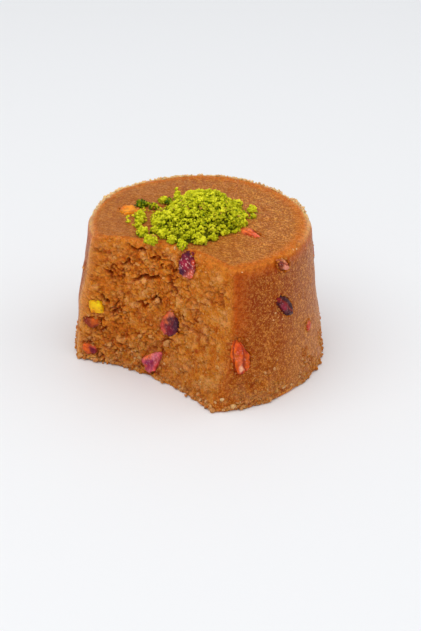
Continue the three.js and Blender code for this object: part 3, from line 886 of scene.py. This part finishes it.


# ------------------------------------------------------------------------------- the kernels
# Whole and chopped pistachio kernels stirred into the halva: a thin wrinkled skin, purple or
# orange-red, over yellow-green flesh. They lie sunk in the surface, and some are cut across.

# Each has its skin's colour, how deep its folds are, which also sets how much painted shade lies in them,
# how strong the painted highlights of its moist dots are, the planes it is chopped along, and its patches.
# A plane has the way it faces and how far out it lies, and a patch how far along and across it lies, how
# far it reaches, and its colour. Places and reaches are shares of the kernel's half size.
SKINS = {
    "kernel_cut_top": dict(skin=(108, 18, 46), folds=0.1, painted_shine_dots=0.9, chops=[], patches=[
        (-0.5, -0.7, 0.5, 222, 98, 70), (-0.95, -0.1, 0.4, 232, 124, 96), (0.4, -0.9, 0.45, 200, 66, 36),
        (-0.35, 0.45, 0.45, 64, 16, 46), (0.8, 0.1, 0.4, 84, 20, 44), (0.15, 0.2, 0.5, 152, 24, 54)]),
    "kernel_cut_middle": dict(
        skin=(74, 30, 46), folds=0.1, painted_shine_dots=0.15, chops=[(0.9, -0.5, 0.1, 0.7)], patches=[
            (0.3, 0.9, 0.8, 210, 96, 46), (-0.6, 0.7, 0.6, 184, 54, 44), (0.95, 0.3, 0.4, 196, 104, 70),
            (-0.4, -0.3, 0.5, 116, 18, 42), (-0.95, 0.3, 0.4, 196, 76, 58)]),
    "kernel_cut_low": dict(
        skin=(194, 82, 88), folds=0.12, painted_shine_dots=0.3,
        chops=[(0.55, 0.85, 0, 0.5), (0.55, -0.85, 0, 0.55), (-0.9, 0.3, 0, 0.8)], patches=[
            (-0.35, -0.05, 0.6, 142, 38, 80), (0.3, 0.2, 0.4, 212, 108, 120), (0.0, 0.9, 0.6, 226, 112, 38),
            (-0.9, 0.2, 0.35, 214, 84, 56), (0.1, -0.9, 0.5, 206, 70, 66)]),
    "kernel_cut_yellow": dict(skin=(238, 174, 0), folds=0.0, painted_shine_dots=0.0, chops=[], patches=[
        (-0.8, 0.5, 0.5, 222, 132, 0), (0.3, -0.2, 0.6, 250, 194, 4)]),
    "kernel_cut_brown": dict(
        skin=(150, 58, 20), folds=0.1, painted_shine_dots=0.1, chops=[(0.3, -1, 0.3, 0.8), (-0.9, 0.5, 0, 0.8)], patches=[
            (0.6, 0.3, 0.7, 130, 42, 14), (-0.2, -0.5, 0.6, 204, 92, 18), (-0.8, 0.3, 0.4, 120, 44, 22)]),
    "kernel_cut_corner": dict(
        skin=(196, 80, 28), folds=0.1, painted_shine_dots=0.1, chops=[(-0.5, 0.8, 0.2, 0.75)], patches=[
            (0.5, 0, 0.7, 218, 94, 26), (-0.5, -0.1, 0.7, 112, 18, 44)]),
    "kernel_wall_corner": dict(
        skin=(206, 84, 8), folds=0.3, painted_shine_dots=0.3, chops=[(0.72, -0.7, 0, 0.5), (-0.2, -1, 0, 0.86)], patches=[
            (0.2, 0.85, 0.6, 216, 94, 16), (0.4, 0.15, 0.4, 204, 70, 22), (-0.2, 0.15, 0.35, 212, 96, 50),
            # The pale patch low on the middle ridge is a painted highlight.
            (-0.62, 0.2, 0.2, 240, 180, 140), (-0.2, -0.6, 0.6, 206, 84, 8), (0.35, -0.6, 0.3, 168, 44, 30),
            (-0.2, -1.0, 0.3, 170, 36, 34), (-1.0, 0.2, 0.3, 176, 50, 28)]),
    "kernel_wall_dark": dict(skin=(62, 18, 26), folds=0.2, painted_shine_dots=0.2, chops=[(-0.2, -1, 0, 0.85)], patches=[
        (0.0, 0.2, 0.5, 136, 26, 48), (0.9, 0.1, 0.4, 138, 28, 24), (-0.6, -0.3, 0.5, 52, 18, 28)]),
    "kernel_wall_small": dict(skin=(192, 68, 42), folds=0.1, painted_shine_dots=0.2, chops=[], patches=[
        (0.7, 0, 0.5, 212, 108, 70)]),
    "kernel_rim_pink": dict(
        skin=(216, 124, 80), folds=0.5, painted_shine_dots=0.4, chops=[(0.7, 0.7, 0, 0.45), (-0.7, -0.7, 0, 0.45)],
        patches=[(0.4, -0.1, 0.55, 104, 24, 10), (-0.4, 0.4, 0.45, 222, 136, 110),
                 (-0.1, -0.8, 0.4, 214, 146, 84)]),
    "kernel_back_dark": dict(
        skin=(92, 30, 48), folds=0.12, painted_shine_dots=0.2, chops=[(0.8, 0.5, 0.2, 0.75)], patches=[
            (0.4, 0.4, 0.5, 150, 40, 60), (-0.8, 0, 0.4, 190, 84, 50)]),
    "kernel_back_red": dict(skin=(214, 94, 30), folds=0.26, painted_shine_dots=0.4, chops=[], patches=[
        (0.2, 0, 0.4, 228, 126, 84), (-0.8, 0.3, 0.4, 200, 60, 36)]),
    "kernel_back_yellow": dict(
        skin=(240, 190, 10), folds=0.0, painted_shine_dots=0.0, chops=[(0.7, 0.7, 0.1, 0.9)], patches=[
            (0.3, 0.3, 0.5, 250, 216, 34)]),
    "kernel_back_purple": dict(
        skin=(90, 30, 50), folds=0.12, painted_shine_dots=0.3, chops=[(-0.6, 0.8, 0.2, 0.7)], patches=[
            (0, 0.8, 0.5, 214, 96, 50), (-0.5, -0.2, 0.4, 140, 30, 56)]),
    "kernel_left_red": dict(skin=(208, 88, 40), folds=0.18, painted_shine_dots=0.3, chops=[], patches=[
        (0.5, 0.2, 0.4, 226, 120, 90), (-0.6, -0.4, 0.4, 170, 50, 44)]),
    "kernel_left_dark": dict(
        skin=(88, 28, 48), folds=0.12, painted_shine_dots=0.2, chops=[(0.9, -0.3, 0.2, 0.7)], patches=[
            (-0.4, 0.5, 0.4, 180, 60, 44), (0.6, 0, 0.4, 64, 22, 46)]),
    "kernel_top_red": dict(
        skin=(214, 92, 48), folds=0.14, painted_shine_dots=0.3, chops=[(0.5, 0.85, 0.1, 0.5), (0.5, -0.85, 0.1, 0.6)],
        patches=[(-0.6, -0.1, 0.7, 220, 104, 36), (0.3, 0.6, 0.5, 156, 38, 42),
                 (0.85, -0.1, 0.5, 222, 104, 70)]),
    "kernel_top_orange": dict(
        skin=(218, 130, 8), folds=0.0, painted_shine_dots=0.0, chops=[(0.8, 0.6, 0, 0.7), (-0.7, 0.7, 0, 0.8)],
        patches=[(0.4, 0.3, 0.35, 224, 136, 22), (-0.5, -0.4, 0.35, 222, 134, 20),
                 (-0.6, 0.5, 0.6, 200, 96, 16)]),
}
# How dull each slot's finish is, how much it reflects and how much light it lets in.
SLOT_FINISH = {
    "kernel_purple_skin": dict(roughness=0.34, specular=0.16, weight=0.15),
    "kernel_red_skin": dict(roughness=0.34, specular=0.18, weight=0.25),
    "kernel_flesh": dict(roughness=0.4, specular=0.2, weight=0.35),
}
# How far a kernel's face stands out of the halva, where it isn't the usual distance, and how square
# its oval is, where 1 is an ellipse: skinned kernels, and bits of bare flesh.
FACE_STANDS = dict(kernel_wall_corner=1.0, kernel_back_red=1.0, kernel_cut_yellow=0.8, kernel_top_red=0.8)
USUAL_STAND = 0.5
OVAL_POWER = {"skinned": 0.9, "flesh": 0.5}


def kernel_skin(size, sink, stand, square, look, salt, rows=60, columns=60):
    """A kernel along X with its face along Z: an oval, squared by taking each of its sines to a
    power, with a blunt end and folds that go in along its length, where a wandering cosine is
    small. Chopping moves what lies past a plane most of the way back to it. The face is worn down:
    what stands more than a little above the halva keeps a quarter of that height, and is uneven.
    Gives the corners, their places as shares of the half sizes and how folded they are."""
    down = np.pi * (np.arange(rows) + 1) / (rows + 1)
    about = -2 * np.pi * np.arange(columns) / columns
    down, about = np.meshgrid(down, about, indexing="ij")

    def squared(sine):
        return np.sign(sine) * np.abs(sine) ** square

    wander = 0.5 * np.sin(2.2 * down + 1.0) + 0.25 * np.sin(5.1 * down)
    fold = 1 - np.abs(np.cos(2.5 * about + wander))
    girth = squared(np.sin(down)) * (1 - 0.14 * np.cos(down)) * (1 - look["folds"] * fold * np.sin(down))
    unit = np.stack([squared(np.cos(down)), girth * squared(np.cos(about)),
                     -girth * squared(np.sin(about))], -1)
    for *facing, reach in look["chops"]:
        facing = np.array(facing) / np.linalg.norm(facing)
        past = np.maximum(unit @ facing - reach, 0)
        unit = unit - 0.85 * past[..., None] * facing
    shape = unit * np.array(size) / 2
    uneven = 0.26 * (hills(shape, 1.7, salt + 40) - 0.5) + 0.16 * (hills(shape, 0.7, salt + 42) - 0.5)
    shape = shape * (1 + uneven)[..., None]
    level = sink + stand
    tall = np.where(shape[..., 2] > level, level + 0.25 * (shape[..., 2] - level), shape[..., 2])
    tall = tall + 0.35 * (hills(shape, 1.1, salt + 41) - 0.5) * ramp(shape[..., 2], sink - 1, sink)
    return np.stack([*np.moveaxis(shape, -1, 0)[:2], tall], -1), unit, fold


def kernel_colour(shape, unit, fold, look, salt):
    """The skin's colour. Each patch covers it inside its reach, with a wandering border. Lengthwise streaks
    and small spots make it lighter and darker, painted shade makes the folds dark red, and painted
    highlights shine as small moist-looking specks."""
    colour = np.broadcast_to(linear(*look["skin"]), (*fold.shape, 4)).copy()
    for number, (along, across, reach, *tint) in enumerate(look["patches"]):
        off = np.hypot(unit[..., 0] - along, unit[..., 1] - across) / reach
        off = off + 0.8 * (hills(shape, 1.1, salt + number) - 0.5)
        colour += (np.array(linear(*tint)) - colour) * (1 - ramp(off, 0.35, 1.25))[..., None]
    streaks = hills(shape * [0.7, 2.2, 2.2], 1.0, salt + 20)
    spots = hills(shape, 0.5, salt + 21)
    colour = colour * (0.6 + 0.4 * streaks + 0.6 * spots)[..., None]
    # Painted shade in the folds, in dark red.
    painted_fold_shade = 0.85 * ramp(fold, 0.5, 0.9) * min(4 * look["folds"], 1)
    colour += (np.array(linear(150, 34, 8)) - colour) * painted_fold_shade[..., None]
    first, _, number = grains(shape, 0.65, salt + 22)
    # Painted highlights: moist-looking shine painted as small white-pink dots.
    painted_shine_dots = look["painted_shine_dots"] * (number > 0.55) * (1 - ramp(first, 0.2, 0.4))
    colour += (np.array(linear(250, 190, 180)) - colour) * painted_shine_dots[..., None]
    colour[..., 3] = 1
    return np.clip(colour, 0, 1)


def fine_mottle():
    """The effect of a dry or moist nut's face close up: a cloudy share from 0 to 1, used for tone,
    gloss and relief. Input: how many clouds there are in a metre."""
    group, clouds, place = effect_group("fine mottle", "Clouds", ["Share"])
    noise = add(group, "ShaderNodeTexNoise", {"Vector": place, "Scale": clouds, "Detail": 4.0})
    add(group, "NodeGroupOutput", {"Share": spread_of(group, noise.outputs["Fac"], 0.3, 0.7)})
    return group


def add_nut_shader(tree, base, clouds, shades, gloss, specular, inside):
    """Ends a nut's material. The mottle makes the colour lighter and darker by a share both ways,
    carries the gloss from one value to another, and stands out as the relief."""
    share = add(tree, "ShaderNodeGroup", {"Clouds": clouds}, node_tree=mottle_effect).outputs["Share"]
    add_shader(
        tree, scaled(tree, base, spread_of(tree, share, 0.0, 1.0, 1 - shades, 1 + shades)),
        gloss=spread_of(tree, share, 0.0, 1.0, *gloss),
        relief=share,
        bump=(0.5, 0.2),
        specular=specular,
        inside=inside,
    )


def kernel_finish(name, roughness, specular, weight):
    """A moist skin: the stored colour, mottled a little, fine wrinkles in the relief, and a soft
    shine that breaks up where the wrinkles are."""
    made, tree = new_finish(name.replace("_", " "))
    gloss = roughness - 0.08, roughness + 0.14
    inside = weight, (1.0, 0.4, 0.2), 0.8
    add_nut_shader(tree, reading(tree, "skin", "Color"), 900.0, 0.18, gloss, specular, inside)
    return made


mottle_effect = fine_mottle()
slot_of = {row["node"]: row["material_slot"] for row in frame["record"]["subparts"]}
finishes = {name: kernel_finish(name, **look) for name, look in SLOT_FINISH.items()}
for salt, (node, seat) in enumerate(SEATS.items()):
    look = SKINS[node]
    square = OVAL_POWER["flesh" if slot_of[node] == "kernel_flesh" else "skinned"]
    stand = FACE_STANDS.get(node, USUAL_STAND)
    shape, unit, fold = kernel_skin(seat["size"], seat["sink"], stand, square, look, 100 * salt)
    middle, axes = seat_of(seat)
    kernel_mesh = mesh_of(node, closed_grid(shape @ axes.T + middle), skin_faces(*fold.shape))
    put_values(kernel_mesh, skin=closed_grid(kernel_colour(shape, unit, fold, look, 100 * salt)))
    kernel = piece(node.replace("kernel", "nut"), kernel_mesh, finishes[slot_of[node]])
    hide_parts(node)


# ------------------------------------------------------------------------------- the pistachio heap
# Bright green pistachio, ground coarsely and dropped on the middle of the top in a loose mound: small
# angular bits that cling together in clumps, with larger and rounder bits among them. The left side
# thins out into single clumps, with halva showing between them.

# The mound: its middle, its half widths, how high it is and where its foot lies. Then how deep the
# clumps lie on its core and how far apart they are, and how many bits lie loose.
HEAP = dict(x=2.2, y=-1.0, across=12.2, along=17.0, height=8.8, foot=HEIGHT - 0.6)
CLUMP_DEPTH = 1.8
CLUMP_STEP = 1.75
LOOSE_GRAINS = 2600
LARGE_BITS = 30
STRAY_BITS = 26
# The clumps beside the mound: x, y, radius, how high the middle lies, tone and share of tan bits.
CLUMPS = np.array([
    (-8.2, -20.1, 2.05, 0.5, 0.62, 0.0),
    (-13.9, -13.9, 1.71, 0.4, 0.60, 0.0),
    (-12.6, -16.6, 1.14, 0.2, 0.55, 0.0),
    (-16.2, -10.6, 1.6, 0.4, 0.55, 0.0),
    (-17.8, -8.6, 1.14, 0.3, 0.50, 0.1),
    (-21.4, -3.9, 1.82, 0.4, 0.05, 0.0),
    (-20.2, -2.6, 1.25, 0.3, 0.14, 0.0),
    (-16.8, -2.9, 1.6, 0.4, 0.2, 0.1),
    (-13.2, -3.5, 1.25, 0.3, 0.4, 0.6),
    (-17.1, 3.2, 1.71, 0.4, 0.62, 0.0),
    (-14.7, 3.1, 1.48, 0.5, 0.12, 0.0),
    (-14.2, 7.2, 1.6, 0.8, 0.62, 0.0),
    (-14.8, 7.8, 0.91, 2.1, 0.68, 0.0),
    (-15.6, 8.2, 0.51, 3.1, 0.6, 0.0),
    (-12.0, -6.2, 1.25, 0.5, 0.5, 0.3),
    (-10.4, -2.4, 1.94, 0.8, 0.45, 0.1),
    (-11.6, 1.8, 1.71, 0.8, 0.40, 0.0),
    (-11.0, 6.0, 1.94, 1.2, 0.50, 0.0),
    (-10.2, -9.2, 2.17, 0.8, 0.60, 0.0),
    (-2.4, -23.0, 2.2, 0.5, 0.62, 0.05),
    (-1.4, -17.6, 2.1, 0.8, 0.66, 0.0),
    (-5.6, -16.6, 1.6, 0.5, 0.52, 0.05),
    (-7.6, -12.8, 2, 1.0, 0.64, 0.0),
    (2.8, -18.8, 1.7, 0.6, 0.60, 0.1),
    (7.5, -19.6, 1.8, 0.4, 0.50, 0.05),
    (10.5, -13.6, 1.8, 0.5, 0.76, 0.05),
    (12.0, -9.2, 1.4, 0.4, 0.62, 0.0),
    (12.7, -3.8, 1.6, 0.5, 0.60, 0.0),
    (13.1, 1.5, 1.5, 0.5, 0.58, 0.0),
    (14.1, 4.9, 1.3, 0.4, 0.55, 0.0),
    (11.0, 14.2, 1.8, 0.8, 0.74, 0.0),
    (13.6, 11.2, 1.2, 0.2, 0.45, 0.05),
    (-17.2, -15.9, 0.68, 0.1, 0.60, 0.2),
])


def heap_edge(angle):
    """The mound's outline as a share of its oval: small waves make bays and tongues."""
    return 1 + 0.03 * np.cos(angle - 3.3) + 0.05 * np.sin(5 * angle + 0.6) + 0.04 * np.sin(9 * angle + 2)


def heap_spot(out, about):
    """The x and y of a place in the mound, from its share of the way out and its angle."""
    x = HEAP["x"] + HEAP["across"] * out * heap_edge(about) * np.cos(about)
    y = HEAP["y"] + HEAP["along"] * out * heap_edge(about) * np.sin(about)
    return x, y


def heap_height(x, y):
    """The mound's height over the top: full in the middle, and falling to nothing at the outline as
    one less the share of the way out, taken to powers. It slumps to less than half at the right
    of the back. Also gives the share of the way out."""
    across, along = (x - HEAP["x"]) / HEAP["across"], (y - HEAP["y"]) / HEAP["along"]
    share = np.hypot(across, along) / heap_edge(np.arctan2(along, across))
    slump = 1 - 0.55 * ramp(0.55 * (x - HEAP["x"]) + 0.83 * (y - HEAP["y"]), 5, 13)
    return HEAP["height"] * slump * np.maximum(1 - share**2.6, 0) ** 0.75, share


def heap_core(rows=46, columns=150):
    """The packed inside of the mound, painted dark as the shade between the clumps, as rows from its middle
    out to its outline and back under. It lies under the mound's height by the depth of the clumps, and
    small hills stand on it."""
    x, y = heap_spot(np.linspace(0.02, 0.97, rows)[:, None], 2 * np.pi * np.arange(columns) / columns)
    tall = heap_height(x, y)[0] - CLUMP_DEPTH + 0.8 * hills(np.stack([x, y, 0 * x], -1), 1.2, 90)
    skin = np.stack([x, y, HEIGHT + np.maximum(tall, -0.4)], -1)
    under = skin[-1:].copy()
    under[..., 2] = HEAP["foot"] - 0.3
    return np.concatenate([skin, under])


def clump_bits(middles, radii, random):
    """Bits all over the upper side of round clumps, as many as fit by the square of the radius, each
    in a random direction and near the clump's radius. Gives the places, which clump each bit is on
    and how far up it faces."""
    which = np.repeat(np.arange(len(radii)), (18 * radii**2).astype(int) + 4)
    way = random.normal(size=(len(which), 3))
    way[:, 2] = np.abs(way[:, 2]) - 0.25
    way /= np.linalg.norm(way, axis=1, keepdims=True)
    reach = radii[which] * random.uniform(0.72, 1.05, len(which))
    return middles[which] + way * reach[:, None], which, way[:, 2]


def pistachio_finish():
    """Ground pistachio: each grain from dark green to lime to yellow by its own tone, with a few tan flecks
    of skin, painted shade low down between grains, and a dry face."""
    made, tree = new_finish("ground pistachio")
    tone = reading(tree, "tone")
    base = layered(
        tree, linear(70, 104, 6),
        (tone, 0.0, 0.35, 1.0, linear(186, 188, 0)),
        (tone, 0.35, 1.0, 1.0, linear(244, 240, 50)),
        (reading(tree, "fleck"), 0.0, 1.0, 1.0, linear(190, 132, 64)),
        # Painted shade low down between grains.
        (reading(tree, "deep"), 0.0, 1.0, 0.9, linear(62, 64, 0)),
    )
    add_nut_shader(tree, base, 1400.0, 0.16, (0.5, 0.75), 0.12, (0.1, (0.6, 0.8, 0.1), 0.5))
    return made


pistachio = pistachio_finish()
core = heap_core()
core_mesh = mesh_of("heap_core", closed_grid(core), skin_faces(*core.shape[:2]))
# The core gets painted shade all over.
put_values(core_mesh, tone=0.3, fleck=0.0, deep=0.9)
heap = piece("heap_core", core_mesh, pistachio)
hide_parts("ground_pistachio")

random = np.random.default_rng(23)
step_x, step_y = np.meshgrid(np.arange(-7, 8), np.arange(-11, 12))
sway = random.uniform(-0.7, 0.7, (2, step_x.size))
x = (HEAP["x"] + CLUMP_STEP * (step_x + 0.5 * (step_y % 2))).ravel() + sway[0]
y = (HEAP["y"] + 0.87 * CLUMP_STEP * step_y).ravel() + sway[1]
tall, share = heap_height(x, y)
tall = np.maximum(tall - 0.6 + random.uniform(-0.6, 0.5, x.size), 0.4)
mound_middles = np.stack([x, y, HEIGHT + tall], -1)[share < 1.02]
mound_radii = random.uniform(0.6, 1.25, len(mound_middles))
beside_middles = np.stack([*CLUMPS.T[:2], HEIGHT + CLUMPS[:, 3]], -1)
middles = np.concatenate([mound_middles, beside_middles])
radii = np.concatenate([mound_radii, CLUMPS[:, 2]])
clump_tone = np.concatenate([0.58 + 0.12 * random.normal(size=len(mound_radii)), CLUMPS[:, 4]])
tan_share = np.concatenate([np.full(len(mound_radii), 0.012), CLUMPS[:, 5]])

clumped, which, rise = clump_bits(middles, radii, random)
about = random.uniform(0, 2 * np.pi, LOOSE_GRAINS)
x, y = heap_spot(np.sqrt(random.random(LOOSE_GRAINS)) * 0.99, about)
lift = random.uniform(-0.6, 0.5, LOOSE_GRAINS)
loose = np.stack([x, y, HEIGHT + np.maximum(heap_height(x, y)[0] - 0.4 + lift, 0.3)], -1)
stray = np.stack([random.uniform(-20, -12, STRAY_BITS), random.uniform(-17, -4, STRAY_BITS),
                  np.full(STRAY_BITS, HEIGHT + 0.15)], -1)
stray_angle = np.arctan2(stray[:, 1], stray[:, 0])
stray = stray[np.hypot(stray[:, 0], stray[:, 1]) < side_radius(stray_angle, HEIGHT) - 3]
centres = np.concatenate([clumped, loose, stray])
sizes = 0.22 + 0.3 * random.random(len(centres)) ** 2
centres[:, 2] = np.maximum(centres[:, 2], HEIGHT + 0.3 * sizes)
# Bits that face up or lie higher are painted lighter, as lit from above; the rest of each tone is random.
tones = np.concatenate([
    clump_tone[which] + 0.24 * random.normal(size=len(which)) + 0.16 * (rise - 0.4),
    0.45 + 0.14 * random.normal(size=LOOSE_GRAINS) + 0.2 * lift,
    0.5 + 0.2 * random.normal(size=len(stray)),
])
# Painted shade: bits low on a clump or sunk among the loose grains are darkened.
deeps = np.concatenate([
    np.clip(0.35 - 1.0 * rise, 0, 1),
    np.clip(0.3 - 0.6 * lift, 0, 1),
    np.zeros(len(stray)),
])
flecks = np.concatenate([tan_share[which], np.full(LOOSE_GRAINS, 0.03), np.full(len(stray), 0.2)])
lumps = lump_skins(centres, sizes, random, flat=0.3, rough=0.3, rings=3, columns=5)
lump_piece(
    "ground_grains", lumps, pistachio, "ground_pistachio",
    smooth=False,
    tone=np.clip(tones, 0, 1),
    fleck=0.85 * (random.random(len(centres)) < flecks),
    deep=deeps,
)

picked = random.choice(len(clumped), LARGE_BITS, p=np.maximum(rise, 0) / np.maximum(rise, 0).sum())
bit_centres = np.concatenate([clumped[picked], beside_middles + [0, 0, 0.1]])
bit_sizes = np.concatenate([random.uniform(0.45, 0.8, LARGE_BITS), 0.74 * CLUMPS[:, 2]])
mound_bit_tones = clump_tone[which[picked]] + 0.2 * random.random(LARGE_BITS)
bit_tones = np.clip(np.concatenate([mound_bit_tones, CLUMPS[:, 4] - 0.04]), 0, 1)
lumps = lump_skins(bit_centres, bit_sizes, random, flat=0.25, rough=0.2, rings=5, columns=7)
lump_piece(
    "ground_bits", lumps, pistachio, "ground_pistachio",
    smooth=False,
    tone=bit_tones,
    fleck=0.0,
    deep=0.0,
)


# ------------------------------------------------------------------------------- table and light
# A plain pale table in soft daylight: a large window high in front of the block, a weaker one high
# at the right of the back, and light from all round.
TABLE_REACH = 3.0


def plain_table():
    """A large flat square under the block, pale and dull."""
    mesh = bpy.data.meshes.new("table")
    corners = [(x * TABLE_REACH, y * TABLE_REACH, 0) for x, y in ((-1, -1), (1, -1), (1, 1), (-1, 1))]
    mesh.from_pydata(corners, [], [(0, 1, 2, 3)])
    made = bpy.data.materials.new("pale table")
    made.use_nodes = True
    shader = made.node_tree.nodes["Principled BSDF"]
    shader.inputs["Base Color"].default_value = linear(238, 239, 239)
    shader.inputs["Roughness"].default_value = 0.6
    mesh.materials.append(made)
    table = bpy.data.objects.new("table", mesh)
    bpy.context.collection.objects.link(table)


def soft_light(name, place, width, power):
    """A square lamp at a place in metres that faces the middle of the block, with a power in watts."""
    lamp = bpy.data.lights.new(name, "AREA")
    lamp.size = width
    lamp.energy = power
    made = bpy.data.objects.new(name, lamp)
    made.location = place
    away = Vector(place) - Vector((0, 0, 0.02))
    made.rotation_euler = away.to_track_quat("Z", "Y").to_euler()
    bpy.context.collection.objects.link(made)


plain_table()
soft_light("window", (-0.12, -0.4, 1.0), width=1.2, power=6.3)
soft_light("room", (0.6, 0.45, 1.0), width=1.2, power=3.6)
world = bpy.data.worlds.new("pale room")
world.use_nodes = True
all_round = world.node_tree.nodes["Background"].inputs
all_round["Color"].default_value = (0.95, 0.96, 1.0, 1.0)
all_round["Strength"].default_value = 0.61
bpy.context.scene.world = world
bpy.context.scene.view_settings.view_transform = "Standard"
